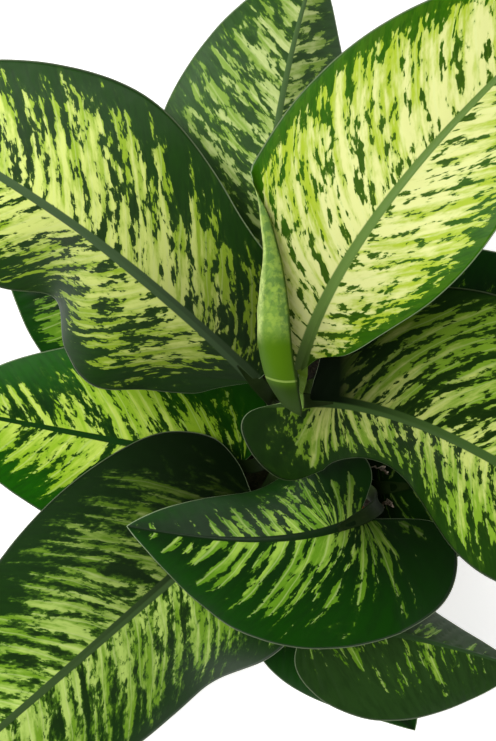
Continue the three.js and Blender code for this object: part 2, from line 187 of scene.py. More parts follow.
sky = bpy.data.worlds.new("sky")
sky.use_nodes = True
sky.node_tree.nodes["Background"].inputs["Color"].default_value = WHITE
sky.node_tree.nodes["Background"].inputs["Strength"].default_value = SKY_STRENGTH
bpy.context.scene.world = sky


def piece_from(name, points, faces):
    mesh = bpy.data.meshes.new(name)
    mesh.from_pydata([tuple(p) for p in points], [], faces)
    mesh.polygons.foreach_set("use_smooth", [True] * len(mesh.polygons))
    piece = bpy.data.objects.new(name, mesh)
    bpy.context.scene.collection.objects.link(piece)
    return piece


half = TABLE_SIZE / 2
table = piece_from("table", [(-half, -half, 0), (half, -half, 0), (half, half, 0), (-half, half, 0)],
                   [(0, 1, 2, 3)])
table.data.materials.append(finish_with(
    "table_white", colour=lambda maker: TABLE_WHITE, roughness=lambda maker: 0.8,
    constants={"Emission Color": WHITE, "Emission Strength": TABLE_GLOW}))


# ---------- the pot ----------
# A plain pot of unglazed red clay, thrown and fired in one piece: a tapered wall, a thick straight rim
# and a flat foot with four drain holes. The photograph hides it, so it is the usual one.
POT_HEIGHT = 150 * MM
POT_RIM_RADIUS = 92 * MM
POT_RIM_HEIGHT = 32 * MM
POT_BODY_TOP_RADIUS = 84 * MM
POT_FOOT_RADIUS = 61 * MM
POT_WALL = 6 * MM
POT_FLOOR = 8 * MM
POT_FILLET = 4 * MM
POT_ROUND = 3 * MM
POT_LIP = 2 * MM
POT_COLLAR = POT_HEIGHT - POT_RIM_HEIGHT
POT_SIDES = 144
POT_GRAIN = 3 * MM
DRAIN_RADIUS = 5 * MM
DRAIN_RING = 34 * MM
DRAIN_SIDES = 24
DRAINS = 4
THROWING_MARK = 0.16 * MM
THROWING_PITCH = 4.2 * MM


def bent(start, middle, end, u):
    """The point at share u of a line from start to end that bends toward middle."""
    return start * (1 - u) ** 2 + middle * (2 * u * (1 - u)) + end * (u * u)


def rounded(corners, radii, steps=4):
    """The corners of a profile, each one replaced by a short curve."""
    out = []
    for k, (corner, radius) in enumerate(zip(corners, radii)):
        if radius == 0:
            out.append(corner)
            continue
        here = Vector(corner)
        before = here + (Vector(corners[k - 1]) - here).normalized() * radius
        after = here + (Vector(corners[(k + 1) % len(corners)]) - here).normalized() * radius
        out += [tuple(bent(before, here, after, n / steps)) for n in range(steps + 1)]
    return out


def ring_faces(sides, rings):
    """The faces of a closed shape of rings, with one point before the first and one after the last."""
    faces = []
    last = 1 + (rings - 1) * sides
    for n in range(sides):
        after = (n + 1) % sides
        faces.append((0, 1 + after, 1 + n))
        for a in range(1, last, sides):
            faces.append((a + n, a + after, a + sides + after, a + sides + n))
        faces.append((last + sides, last + n, last + after))
    return faces


def turned(name, profile, sides, mark=0.0):
    """A solid of revolution about the pot's axis. profile runs from the axis to the axis again."""
    points = [(0, 0, profile[0][1])]
    for radius, height in profile[1:-1]:
        for n in range(sides):
            angle = 2 * math.pi * n / sides
            waved = radius + mark * math.sin(2 * math.pi * height / THROWING_PITCH + angle)
            points.append((waved * math.cos(angle), waved * math.sin(angle), height))
    points.append((0, 0, profile[-1][1]))
    return piece_from(name, points, ring_faces(sides, len(profile) - 2))


def refined(profile, longest):
    """The profile with more corners, so that none of its lines is longer than this."""
    out = [profile[0]]
    for start, end in zip(profile, profile[1:]):
        pieces = max(1, math.ceil((Vector(end) - Vector(start)).length / longest))
        out += [tuple(Vector(start).lerp(Vector(end), k / pieces)) for k in range(1, pieces + 1)]
    return out


pot_corners = [
    (0, 0), (POT_FOOT_RADIUS, 0), (POT_BODY_TOP_RADIUS, POT_COLLAR), (POT_RIM_RADIUS - 1 * MM, POT_COLLAR),
    (POT_RIM_RADIUS, POT_HEIGHT), (POT_RIM_RADIUS - POT_WALL, POT_HEIGHT),
    (POT_RIM_RADIUS - POT_WALL - 1 * MM, POT_HEIGHT - 6 * MM),
    (POT_BODY_TOP_RADIUS - POT_WALL, POT_COLLAR - POT_FILLET),
    (POT_FOOT_RADIUS - POT_WALL, POT_FLOOR), (0, POT_FLOOR),
]
pot_rounds = [0, POT_ROUND, 1.5 * MM, POT_LIP, POT_LIP, POT_LIP, 1 * MM, 3 * MM, POT_FILLET, 0]
pot = turned("clay_pot", refined(rounded(pot_corners, pot_rounds), POT_GRAIN), POT_SIDES, THROWING_MARK)
for k in range(DRAINS):
    angle = 2 * math.pi * (k + 0.5) / DRAINS
    drill = turned("drill", [(0, -1 * MM), (DRAIN_RADIUS, -1 * MM), (DRAIN_RADIUS, POT_FLOOR + 1 * MM),
                             (0, POT_FLOOR + 1 * MM)], DRAIN_SIDES)
    drill.data.transform(Matrix.Translation((DRAIN_RING * math.cos(angle), DRAIN_RING * math.sin(angle), 0)))
    cut = pot.modifiers.new("drain", "BOOLEAN")
    cut.object = drill
    cut.operation = "DIFFERENCE"
    bpy.context.view_layer.update()
    drilled = bpy.data.meshes.new_from_object(pot.evaluated_get(bpy.context.evaluated_depsgraph_get()))
    pot.modifiers.clear()
    pot.data = drilled
    bpy.data.objects.remove(drill)


def linear(red, green, blue):
    """A colour given as it looks on a screen, 0 to 255, for a shader's socket."""
    return tuple((c / 255 / 12.92 if c < 11 else ((c / 255 + 0.055) / 1.055) ** 2.4)
                 for c in (red, green, blue)) + (1,)


def object_place(maker):
    return maker.add("ShaderNodeTexCoord", output=3)


def grain_of(scale, detail, roughness, strength, depth):
    """A fine relief all over a surface, as a function of its Maker."""
    return lambda maker: maker.bump(maker.noise(object_place(maker), scale, detail, roughness), strength,
                                    depth)


def clay_colour(maker):
    place = object_place(maker)
    blotch = maker.noise(place, 22, 4, 0.6)
    grain = maker.noise(place, 900, 2, 0.6)
    lime = maker.noise(place, 38, 5, 0.7).rising(0.55, 0.72)
    base = maker.mix(blotch.rising(0.35, 0.68), linear(176, 98, 62), linear(196, 120, 82))
    speckled = maker.mix((grain - 0.35).limited() * 0.5, base, linear(128, 66, 42))
    return maker.mix(lime * 0.28, speckled, linear(216, 190, 166))


pot.data.materials.append(finish_with("fired_clay", clay_colour, lambda maker: 0.86,
                                      grain_of(700, 3, 0.6, 0.35, 0.4 * MM)))
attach(pot, "root")
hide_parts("pot")


# ---------- the soil ----------
# Dark moist potting soil, filled to 22 mm below the rim and level but for its lumps, with loose crumbs
# of peat and bark on top. Its sides follow the inside of the pot.
SOIL_LEVEL = 128 * MM
SOIL_BUMP = 2.6 * MM
SOIL_RADIUS = 77.3 * MM
SOIL_FOOT_RADIUS = 53 * MM
SOIL_FINE = 1.1 * MM
SOIL_SIDES = 120
SOIL_RINGS = 60
CRUMBS_PER_M2 = 42000.0
CRUMB_SIZE = 2.6 * MM


def soil_height(x, y):
    """The level of the soil with its lumps of three sizes, each made by waves that cross."""
    long = math.sin(x / (5.3 * MM) + y / (9 * MM)) * math.cos(y / (6.1 * MM) - x / (11 * MM))
    short = math.sin(x / (2.7 * MM)) * math.sin(y / (3.1 * MM))
    fine = math.sin(x / (1.3 * MM) + 2 * math.sin(y / (2.2 * MM))) * math.sin(y / (1.1 * MM))
    return SOIL_LEVEL + SOIL_BUMP * (1 + long + 0.6 * short) * 0.75 + SOIL_FINE * fine * 0.5


def soil_mound():
    """Rings up the inside of the pot, and then inward over the lumpy top, which has no height given."""
    foot = POT_FLOOR + 0.5 * MM
    rings = [(SOIL_FOOT_RADIUS - 4 * MM, foot), (SOIL_FOOT_RADIUS, POT_FLOOR + 7 * MM),
             (SOIL_RADIUS, POT_COLLAR - POT_FILLET), (SOIL_RADIUS + 1 * MM, SOIL_LEVEL - 2 * MM)]
    rings += [(SOIL_RADIUS * (1 - k / SOIL_RINGS), None) for k in range(SOIL_RINGS)]
    points = [(0, 0, foot)]
    for radius, height in rings:
        for n in range(SOIL_SIDES):
            angle = 2 * math.pi * n / SOIL_SIDES
            x, y = radius * math.cos(angle), radius * math.sin(angle)
            points.append((x, y, soil_height(x, y) if height is None else height))
    points.append((0, 0, soil_height(0, 0)))
    return piece_from("potting_soil", points, ring_faces(SOIL_SIDES, len(rings)))


def tree_of(name, inputs):
    """A new tree with these named inputs and one geometry to give: its Maker and its inputs."""
    tree = bpy.data.node_groups.new(name, "GeometryNodeTree")
    for label, kind in inputs:
        tree.interface.new_socket(label, in_out="INPUT", socket_type="NodeSocket" + kind)
    tree.interface.new_socket("Made", in_out="OUTPUT", socket_type="NodeSocketGeometry")
    maker = Maker(tree)
    given = tree.nodes.new("NodeGroupInput")
    return maker, [Value(maker, given.outputs[k]) for k in range(len(inputs))]


def finished_tree(maker, geometry, finish, where=True):
    """The end of a tree: its instances made real, and the material set on the faces where this holds."""
    real = maker.add("GeometryNodeRealizeInstances", {}, {"Geometry": geometry})
    finished = maker.add("GeometryNodeSetMaterial", {}, {
        "Geometry": real, "Selection": where, "Material": finish})
    out = maker.tree.nodes.new("NodeGroupOutput")
    maker.tree.links.new(finished.socket, out.inputs[0])
    return maker.tree


def crumb_tree():
    """Crumbs strewn over what faces up: how many to the square metre, their size, and the seed."""
    maker, (ground, density, size, seed, finish) = tree_of("strewn_crumbs", (
        ("Ground", "Geometry"), ("Density", "Float"), ("Size", "Float"), ("Seed", "Int"),
        ("Finish", "Material")))
    _, _, up = maker.parts(maker.add("GeometryNodeInputNormal"))
    _, _, high = maker.parts(maker.add("GeometryNodeInputPosition"))
    on_top = (up - 0.45).rising(0, 0.1) * (high - (SOIL_LEVEL - 1 * MM)).rising(0, 0.5 * MM)
    spots = maker.add("GeometryNodeDistributePointsOnFaces", {}, {
        "Mesh": ground, "Density": density * on_top, "Seed": seed})
    lump = maker.add("GeometryNodeMeshIcoSphere", {}, {"Radius": 0.5, "Subdivisions": 1})
    turn = maker.add("FunctionNodeRandomValue", {"data_type": "FLOAT_VECTOR"},
                     {0: (0, 0, 0), 1: (6.28, 6.28, 6.28), "Seed": seed})
    shape = maker.add("FunctionNodeRandomValue", {"data_type": "FLOAT_VECTOR"},
                      {0: (0.35, 0.3, 0.25), 1: (1.5, 1.0, 0.8), "Seed": seed + 7})
    scaled = maker.add("ShaderNodeVectorMath", {"operation": "SCALE"}, {0: shape, 3: size})
    placed = maker.add("GeometryNodeInstanceOnPoints", {}, {
        "Points": spots, "Instance": lump, "Rotation": turn, "Scale": scaled})
    return finished_tree(maker, placed, finish)


def grown(name, piece, tree, **inputs):
    """What a Geometry Nodes tree makes of a piece with these inputs, as a plain mesh of its own."""
    modifier = piece.modifiers.new("grow", "NODES")
    modifier.node_group = tree
    named = {item.name: item.identifier for item in tree.interface.items_tree if item.in_out == "INPUT"}
    for key, value in inputs.items():
        modifier[named[key.replace("_", " ").title()]] = value
    piece.update_tag()
    bpy.context.view_layer.update()
    graph = bpy.context.evaluated_depsgraph_get()
    made = bpy.data.meshes.new_from_object(piece.evaluated_get(graph), preserve_all_data_layers=True,
                                           depsgraph=graph)
    piece.modifiers.clear()
    made.name = name
    made_piece = bpy.data.objects.new(name, made)
    bpy.context.scene.collection.objects.link(made_piece)
    return made_piece


def soil_colour(maker):
    place = object_place(maker)
    clod = maker.noise(place, 120, 4, 0.65)
    fibre = maker.noise(place, 520, 3, 0.7)
    base = maker.mix(clod.rising(0.38, 0.62), linear(17, 14, 10), linear(40, 32, 24))
    return maker.mix(fibre.rising(0.56, 0.66) * 0.7, base, linear(66, 54, 40))


def crumb_colour(maker):
    place = object_place(maker)
    kind = maker.noise(place, 210, 1, 0.5)
    base = maker.mix(kind.rising(0.4, 0.6), linear(20, 16, 12), linear(56, 44, 32))
    return maker.mix(kind.rising(0.66, 0.68), base, linear(170, 164, 152))


crumbly = grain_of(600, 4, 0.7, 0.8, 1.0 * MM)
crumb_finish = finish_with("peat_crumbs", crumb_colour, lambda maker: 0.95, crumbly)
soil = soil_mound()
crumbs = grown("peat_and_bark", soil, crumb_tree(), density=CRUMBS_PER_M2, size=CRUMB_SIZE, seed=4,
               finish=crumb_finish)
soil.data.materials.append(finish_with("moist_soil", soil_colour, lambda maker: 0.93, crumbly))
for piece in (soil, crumbs):
    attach(piece, "root")
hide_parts("soil")


# ---------- the canes ----------
# Two fleshy green canes that stand in the soil. Each fallen leaf left a pale ring round its cane, with a
# corky line, and the bark is smooth and marbled between the rings.
CANES = {
    "cane_1": dict(foot=(-2, 10, 55), bend=(-16, 20, 190), top=(-14, 30, 322), radius=10.5, scars=22),
    "cane_2": dict(foot=(26, -22, 55), bend=(44, -30, 170), top=(47, -41, 268), radius=8, scars=18),
}
SCAR_SWELL = 0.09
SCAR_SHARE = 0.14
CANE_WAIST = 0.03
CANE_END_SHARE = 0.975
CANE_END_TAPER = 0.75
CANE_SIDES = 40
CANE_STATIONS = 360
CANE_SHEEN = 0.2


def cane_tree():
    """A cane along a bent line: its thickness, and how far apart its swollen leaf scars are."""
    maker, (foot, bend, top, thickness, distance, swell, finish) = tree_of("scarred_cane", (
        ("Foot", "Vector"), ("Bend", "Vector"), ("Top", "Vector"), ("Thickness", "Float"),
        ("Scar Distance", "Float"), ("Scar Swell", "Float"), ("Finish", "Material")))
    line = maker.add("GeometryNodeCurveQuadraticBezier", {}, {
        "Resolution": CANE_STATIONS, "Start": foot, "Middle": bend, "End": top})
    share = maker.add("GeometryNodeSplineParameter", output=0)
    along = maker.add("GeometryNodeSplineParameter", output=1)
    beside = (along / distance).fraction() - 0.5
    scar = 1 - abs(beside).rising(0, SCAR_SHARE)
    waist = 1 - abs(beside).rising(0.2, 0.5) * CANE_WAIST
    crown = 1 - (share.rising(CANE_END_SHARE, 1.0) ** 2) * CANE_END_TAPER
    thick = thickness * (scar * swell + 1) * waist * crown
    shaped = maker.add("GeometryNodeSetCurveRadius", {}, {"Curve": line, "Radius": thick})
    ring = maker.add("GeometryNodeCurvePrimitiveCircle", {}, {"Resolution": CANE_SIDES, "Radius": 1.0})
    skin = maker.add("GeometryNodeCurveToMesh", {}, {
        "Curve": shaped, "Profile Curve": ring, "Scale": maker.add("GeometryNodeInputRadius"),
        "Fill Caps": True})
    smooth = maker.add("GeometryNodeSetShadeSmooth", {}, {"Geometry": skin})
    return finished_tree(maker, smooth, finish)


def cane_colour(maker):
    place = object_place(maker)
    marbling = maker.noise(place, 90, 4, 0.6)
    _, _, height = maker.parts(place)
    green = maker.mix(marbling.rising(0.42, 0.6), linear(70, 92, 40), linear(116, 134, 66))
    aged = maker.mix(height.rising(0.20, 0.13) * 0.8, green, linear(126, 110, 76))
    corky = maker.noise(place, 300, 3, 0.7).rising(0.5, 0.7)
    barked = maker.mix(corky * 0.35, aged, linear(92, 78, 54))
    # Painted shade of the crown: toward its top the cane turns almost black.
    return maker.mix(height.rising(0.235, 0.285) * 0.85, barked, linear(12, 20, 6))


cane_finish = finish_with("cane_skin", cane_colour, lambda maker: 0.55,
                          grain_of(260, 4, 0.6, 0.4, 0.8 * MM), {"Specular IOR Level": CANE_SHEEN})
cane_grower = cane_tree()
for node, cane in CANES.items():
    seedling = piece_from("seedling", [(0, 0, 0)], [])
    piece = grown(f"scarred_{node}", seedling, cane_grower,
                  foot=[v * MM for v in cane["foot"]], bend=[v * MM for v in cane["bend"]],
                  top=[v * MM for v in cane["top"]], thickness=cane["radius"] * MM,
                  scar_distance=cane["scars"] * MM, scar_swell=SCAR_SWELL, finish=cane_finish)
    bpy.data.objects.remove(seedling)
    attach(piece, "root")
    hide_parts(node)


# ---------- the sheath scraps ----------
# What is left of a fallen leaf's sheath round the top of the second cane: two dry, papery, brown scraps
# that stand up between the petioles, flared and torn along their upper edge. Millimetres and degrees.
SCRAPS = {"sheath_scrap_1": (38, 150), "sheath_scrap_2": (235, 325)}
SCRAP_MIDDLE = (46.5, -39.8)
SCRAP_FOOT = 244.0
SCRAP_TOP = 298.0
SCRAP_FOOT_RADIUS = 9.6
SCRAP_TOP_RADIUS = 15.5
SCRAP_PALE_FROM = 276.0
SCRAP_PALE_AT = 300.0
SCRAP_TEAR = 7.0
SCRAP_FLARE = 1.4
SCRAP_WRINKLE = 0.5
SCRAP_THICKNESS = 0.4
SCRAP_COLUMNS = 60
SCRAP_ROWS = 16


def sheath_scrap(name, start, end):
    """Two skins round part of the cane, from this angle to that one, that meet along their rim."""
    points = []
    for layer in (0.5, -0.5):
        for n in range(SCRAP_COLUMNS + 1):
            angle = math.radians(start + (end - start) * n / SCRAP_COLUMNS)
            torn = math.sin(angle * 7) + 0.6 * math.sin(angle * 17 + 1) + 0.4 * math.sin(angle * 41)
            rise = SCRAP_TOP + torn * SCRAP_TEAR - SCRAP_FOOT
            for k in range(SCRAP_ROWS + 1):
                height = rise * k / SCRAP_ROWS
                flare = (height / (SCRAP_TOP - SCRAP_FOOT)) ** SCRAP_FLARE
                radius = (SCRAP_FOOT_RADIUS + (SCRAP_TOP_RADIUS - SCRAP_FOOT_RADIUS) * flare
                          + SCRAP_WRINKLE * math.sin(angle * 23) * flare + SCRAP_THICKNESS * layer)
                points.append(((SCRAP_MIDDLE[0] + radius * math.cos(angle)) * MM,
                               (SCRAP_MIDDLE[1] + radius * math.sin(angle)) * MM,
                               (SCRAP_FOOT + height) * MM))
    column = SCRAP_ROWS + 1
    inner = len(points) // 2
    faces = []
    for n in range(SCRAP_COLUMNS):
        for k in range(SCRAP_ROWS):
            corners = [n * column + k, (n + 1) * column + k, (n + 1) * column + k + 1, n * column + k + 1]
            faces.append(corners)
            faces.append([inner + corner for corner in reversed(corners)])
    last = SCRAP_COLUMNS * column
    rim = (list(range(0, last, column)) + list(range(last, last + SCRAP_ROWS))
           + list(range(last + SCRAP_ROWS, SCRAP_ROWS, -column)) + list(range(SCRAP_ROWS, 0, -1)))
    for here, after in zip(rim, rim[1:] + rim[:1]):
        faces.append([after, here, inner + here, inner + after])
    return piece_from(name, points, faces)


def scrap_colour(maker):
    place = object_place(maker)
    _, _, height = maker.parts(place)
    fibre = maker.noise(place, 260, 4, 0.7)
    brown = maker.mix(fibre.rising(0.4, 0.6), linear(58, 46, 32), linear(122, 102, 80))
    papery = height.rising(SCRAP_PALE_FROM * MM, SCRAP_PALE_AT * MM) * fibre.rising(0.45, 0.6) * 0.7
    return maker.mix(papery, brown, linear(190, 176, 162))


scrap_finish = finish_with("dry_sheath", scrap_colour, lambda maker: 0.8)
for name, (start, end) in SCRAPS.items():
    piece = sheath_scrap(name, start, end)
    piece.data.materials.append(scrap_finish)
    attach(piece, "root")


# ---------- the leaves ----------
# Twelve leaves that each grew in one piece: a channelled petiole that clasps its cane, a thick midrib and
# a waved blade. A blade's light zone breaks up into streaks along its lateral veins, and its margin and
# the old leaves stay deep green. Millimetres and degrees.
VEIN = (0, 0.03, 0.08, 0.16, 0.27, 0.40, 0.54, 0.68, 0.82, 0.93, 1)
ALONG = (0, -0.075, -0.08, 0.02, 0.20, 0.40, 0.59, 0.76, 0.89, 0.965, 1)
ACROSS = (0, 0.28, 0.56, 0.83, 0.97, 1, 0.88, 0.63, 0.33, 0.12, 0)
BACK = (0, 0.8, 1, 0.9, 0.55, 0.2, 0, 0, 0, 0, 0)
VEIN_SWEEP = 0.55
VEIN_LEAN = 0.68
VEIN_BEND = 0.26
FAN_SIZE = 44.0
FAN_CORE = 8.0
ARCH = -20
BLADE_THICKNESS = 0.9
SEAM = 0.002
EDGE_SHARPNESS = 10
KEEL_DEPTH = 5.0
KEEL_TIP_DEPTH = 0.6
KEEL_WIDTH = 4.6
GROOVE_WIDTH = 4
GROOVE_DEPTH = 0.3
ROLL_EASE = 0.3
ROLL_NARROWEST = 4
ROWS = 132
ROW_CROWDING = 1.15
COLUMNS = 34
RIB_TIP_SHARE = 0.28
WAVE_HEIGHT = 1.6
WAVE_SIZE = 46.0
LEAF_SHEEN = 0.15

# How the colour lies on a blade. light and cream: how much of it is light, and how much of that is cream.
# row, streak and fleck: how strongly the veins, the long streaks and the flecks show. near: how much less
# light there is at the base. reach and end: how far out and how far up it comes, as shares, and border: how
# wide the green edge is. size: of the streaks. spacing and relief: how far apart and how high the veins are.
# soft: how strongly the light runs out into the green. dusk: how much painted shade of the crown darkens the
# left and the right half at the base, and over what share of the length. crown: where along the petiole the
# painted shade of the crown turns it dark.
YOUNG = dict(slot="leaf_young", light=0.2, row=0.08, streak=1.1, fleck=2.2, near=0.1, reach=0.95, end=1.15,
             border=8, size=1.15, spacing=14, rib_width=10, relief=0.5, soft=0.1, cream=0.5,
             painted_base_shade=(0.4, 0.25, 0.5), crown=(1.5, 2), lime=(160, 182, 46), pale=(212, 216, 142),
             between=(112, 150, 24), vivid=(44, 90, 2), shade=(52, 84, 14), rib=(96, 124, 58),
             below=(116, 150, 56), stalk=(84, 112, 22))
LIGHT = dict(slot="leaf_variegated", light=0.06, row=0.08, streak=1.3, fleck=1.7, near=0.25, reach=0.85,
             end=1.05, border=6, size=1.1, spacing=12, rib_width=10, relief=0.5, soft=0.15, cream=0.45,
             painted_base_shade=(0.6, 0.65, 0.5), crown=(0.5, 0.8), lime=(138, 168, 48), pale=(204, 216, 128),
             between=(86, 126, 28), vivid=(26, 62, 6), shade=(34, 58, 22), rib=(66, 88, 54),
             below=(112, 142, 66), stalk=(84, 108, 48))
DEEP = dict(slot="leaf_deep", light=-0.12, row=0.12, streak=1.4, fleck=1.4, near=0, reach=0.72, end=0.85,
            border=5, size=0.95, spacing=11, rib_width=7, relief=0.5, soft=0.12, cream=0.15,
            painted_base_shade=(0.2, 0.2, 0.4), crown=(0.4, 0.7), lime=(88, 130, 24), pale=(140, 172, 64),
            between=(54, 92, 18), vivid=(14, 56, 2), shade=(10, 40, 4), rib=(12, 34, 6),
            below=(98, 130, 60), stalk=(72, 96, 40))

# The midrib runs from base to tip and bends toward crest. On each half of a blade fold tilts it, arch bows
# it, wide and back shape its outline, fan is where the veins of a basal lobe begin, and roll turns the basal
# margin over. stem: where the petiole leaves its cane, how far it rises first, and how far before the blade
# it lines up with the midrib.
LEAVES = {
    "leaf_a": dict(
        base=(-8, 41, 425), crest=(9, 134, 510), tip=(178, 278, 470), width=174,
        left=dict(fold=(10, 5, 0, 0, -5), arch=-15, back=-0.02, wide=(1.15, 1.1, 0.89, 0.99, 1.13, 1.22, 1.2),
                  roll=dict(turn=225, start=(0.1, 0.12, 0.2, 0.45, 1, 1))),
        right=dict(fold=(44, 48, 50, 50, 45), arch=-15, back=-0.22, wide=(0.6, 0.62, 0.8, 0.95, 1, 1, 1)),
        stem=dict(cane="cane_1", height=292, azimuth=80, rise=60, lean=30),
        look=dict(YOUNG, seed=1.0)),
    "leaf_b": dict(
        base=(-35, 35, 398), crest=(-131, 136, 450), tip=(-298, 222, 370), width=184,
        left=dict(fold=(-45, -40, -27, -36, -53, -32, -22, -20, -20), back=-0.12, arch=-12),
        right=dict(fold=(15, 40, 22, 5, 0, 0), arch=-10, back=-0.1,
                   wide=(0.9, 0.85, 0.9, 1.06, 1.18, 1.22, 1.17)),
        stem=dict(cane="cane_1", height=262, azimuth=170, rise=70, lean=30),
        look=dict(LIGHT, seed=5.3, light=0.08, near=0.4, cream=0.38,
                  painted_base_shade=(0.55, 0.75, 0.72), lime=(146, 176, 42), pale=(208, 220, 120))),
    "leaf_c": dict(
        base=(-31, 88, 370), crest=(-30, 195, 430), tip=(6, 312, 360), width=160,
        left=dict(fold=(0, 0, -5, -5, 0)),
        right=dict(fold=(0, -20, -35, -35, -30), wide=(0.95, 0.95)),
        stem=dict(cane="cane_1", height=240, azimuth=112, rise=70, lean=40),
        # C's vivid and shade greens are greyed with a painted sheen.
        look=dict(LIGHT, seed=9.1, soft=0.35, cream=0.35, painted_base_shade=(0.3, 0.3, 0.4),
                  lime=(128, 158, 62), pale=(186, 200, 128), vivid=(48, 80, 32), shade=(50, 76, 38),
                  rib_width=7, rib=(78, 104, 60))),
    "leaf_d": dict(
        base=(-2, 23, 398), crest=(86, 24, 430), tip=(251, -109, 330), width=196,
        left=dict(fold=(20, 15, 10, 5, 0), arch=-10, back=-0.14, wide=(0.8, 0.9, 1, 1, 1)),
        right=dict(fold=(-30, -40, -48, -50, -40, -18, -5, 0, 0), arch=-18, back=0.18, fan=32,
                   wide=(0.1, 0.82, 0.56, 0.56, 0.74, 0.96, 1.08, 1.12, 1.12)),
        stem=dict(cane="cane_1", height=276, azimuth=330, rise=70, lean=22),
        look=dict(LIGHT, seed=14.7, light=0.06, row=0.14, near=-0.1, size=1,
                  streak=1.6, fleck=1.5, reach=0.95, border=8, cream=0.22, painted_base_shade=(1.1, 0.6, 0.55),
                  lime=(126, 164, 42), pale=(204, 216, 116), vivid=(30, 62, 10), shade=(24, 48, 8),
                  rib=(64, 92, 40), stalk=(124, 156, 70), crown=(0.95, 0.97))),
    "leaf_e": dict(
        base=(-46, -27, 248), crest=(-138, -7, 270), tip=(-282, 17, 220), width=150,
        left=dict(fold=(0, 0)),
        right=dict(fold=(0, 0)),
        stem=dict(cane="cane_1", height=172, azimuth=226, rise=35, lean=30),
        look=dict(LIGHT, seed=19.2, light=0.05, reach=0.75, fleck=1.1, size=1.2,
                  border=9, cream=0.3, painted_base_shade=(0.3, 0.4, 0.5), lime=(136, 172, 36), pale=(178, 200, 82),
                  vivid=(22, 78, 2), shade=(10, 46, 2), rib_width=7, rib=(14, 50, 6),
                  between=(84, 130, 18))),
    "leaf_f": dict(
        base=(-35, -52, 280), crest=(-129, -135, 305), tip=(-318, -304, 220), width=200,
        left=dict(fold=(-5, -8, -26, -20, -10, -8), wide=(1, 1, 1.03, 1.05, 1.03, 1)),
        right=dict(fold=(-8, -8), back=-0.04, wide=(1.03, 1.03)),
        stem=dict(cane="cane_1", height=190, azimuth=286, rise=60, lean=30),
        look=dict(LIGHT, seed=23.8, light=0.03, fleck=1.1, soft=0.7, size=1.15,
                  cream=0.35, painted_base_shade=(0.1, 0.97, 0.75), lime=(110, 150, 34), pale=(176, 202, 100),
                  vivid=(20, 54, 4), shade=(24, 48, 12), rib=(56, 78, 40), between=(72, 112, 24))),
    "leaf_g": dict(
        base=(33, -56, 350), crest=(-16, -78, 372), tip=(-123, -64, 318), width=164,
        left=dict(fold=(0, 0, 0, -10, -20), back=0.43, wide=(1, 1.14, 1.02, 0.93, 0.95, 0.97, 1)),
        right=dict(fold=(-30, -42, -54, -56, -35), back=0.2, fan=30),
        stem=dict(cane="cane_2", height=236, azimuth=200, rise=60, lean=35),
        look=dict(DEEP, seed=28.4, light=-0.01, near=-0.04, size=1, spacing=12, row=0.18,
                  fleck=1.4, painted_base_shade=(0.85, 0.6, 0.32))),
    "leaf_h": dict(
        base=(7, -143, 235), crest=(78, -145, 257), tip=(165, -180, 222), width=130,
        left=dict(fold=(0, -20, -48, -60, -50), wide=(1, 1, 0.9, 0.75, 0.6, 0.5, 0.45)),
        right=dict(fold=(0, 0, 0, -5, -10), wide=(1.03, 1.05, 1.06, 1.08, 1.2, 1.35, 1.35)),
        stem=dict(cane="cane_2", height=190, azimuth=262, rise=30, lean=40),
        look=dict(DEEP, seed=33.6, light=-0.16, relief=1.3, spacing=11, border=7,
                  vivid=(36, 64, 22), shade=(38, 64, 24), rib=(48, 74, 38))),
    "leaf_i": dict(
        base=(-65, 41, 215), crest=(-141, 72, 240), tip=(-226, 125, 190), width=122,
        left=dict(fold=(0, 0)),
        right=dict(fold=(0, 0)),
        stem=dict(cane="cane_1", height=156, azimuth=160, rise=25, lean=25),
        look=dict(DEEP, seed=38.1, light=0.02, reach=0.8)),
    "leaf_j": dict(
        base=(35, 46, 300), crest=(90, 76, 335), tip=(191, 102, 280), width=118,
        left=dict(fold=(0, 0)),
        right=dict(fold=(0, 0)),
        stem=dict(cane="cane_1", height=208, azimuth=20, rise=45, lean=30),
        look=dict(DEEP, seed=42.9, light=-0.35)),
    "leaf_k": dict(
        base=(57, -40, 287), crest=(103, -36, 306), tip=(188, -56, 255), width=112,
        left=dict(fold=(0, 0), back=0.2),
        right=dict(fold=(0, 0), back=0.2, wide=(1.2, 1.2, 1, 0.88, 0.85, 0.85)),
        stem=dict(cane="cane_2", height=214, azimuth=0, rise=40, lean=20),
        look=dict(DEEP, seed=47.5, light=-0.3, painted_base_shade=(0.8, 0.8, 0.6))),
    "leaf_l": dict(
        base=(0, -137, 190), crest=(26, -180, 205), tip=(90, -238, 170), width=104,
        left=dict(fold=(0, 0), wide=(1, 1, 1, 1, 1.15, 1.35, 1.5)),
        right=dict(fold=(-8, -12, -18, -25, -20), wide=(1.1, 1.1, 1, 0.9, 0.8, 0.6, 0.5)),
        stem=dict(cane="cane_2", height=160, azimuth=235, rise=20, lean=35),
        look=dict(DEEP, seed=52.2, light=-0.2)),
}


def through(xs, ys, x):
    """A smooth curve through the points (xs, ys)."""
    xs, ys = np.asarray(xs, float), np.asarray(ys, float)
    x = np.asarray(x, float)
    before = np.maximum(np.arange(len(xs)) - 1, 0)
    after = np.minimum(np.arange(len(xs)) + 1, len(xs) - 1)
    slopes = (ys[after] - ys[before]) / (xs[after] - xs[before])
    i = np.clip(np.searchsorted(xs, x, side="right") - 1, 0, len(xs) - 2)
    h = xs[i + 1] - xs[i]
    t = (x - xs[i]) / h
    return ((2 * t**3 - 3 * t**2 + 1) * ys[i] + (t**3 - 2 * t**2 + t) * h * slopes[i]
            + (3 * t**2 - 2 * t**3) * ys[i + 1] + (t**3 - t**2) * h * slopes[i + 1])


def evenly(values, x):
    """A smooth curve through values that lie evenly between 0 and 1."""
    return through(np.linspace(0, 1, len(values)), values, np.clip(x, 0, 1))


def unit(v):
    return v / np.linalg.norm(v, axis=-1, keepdims=True)


def midrib(leaf):
    return [np.array(leaf[key], float) for key in ("base", "crest", "tip")]


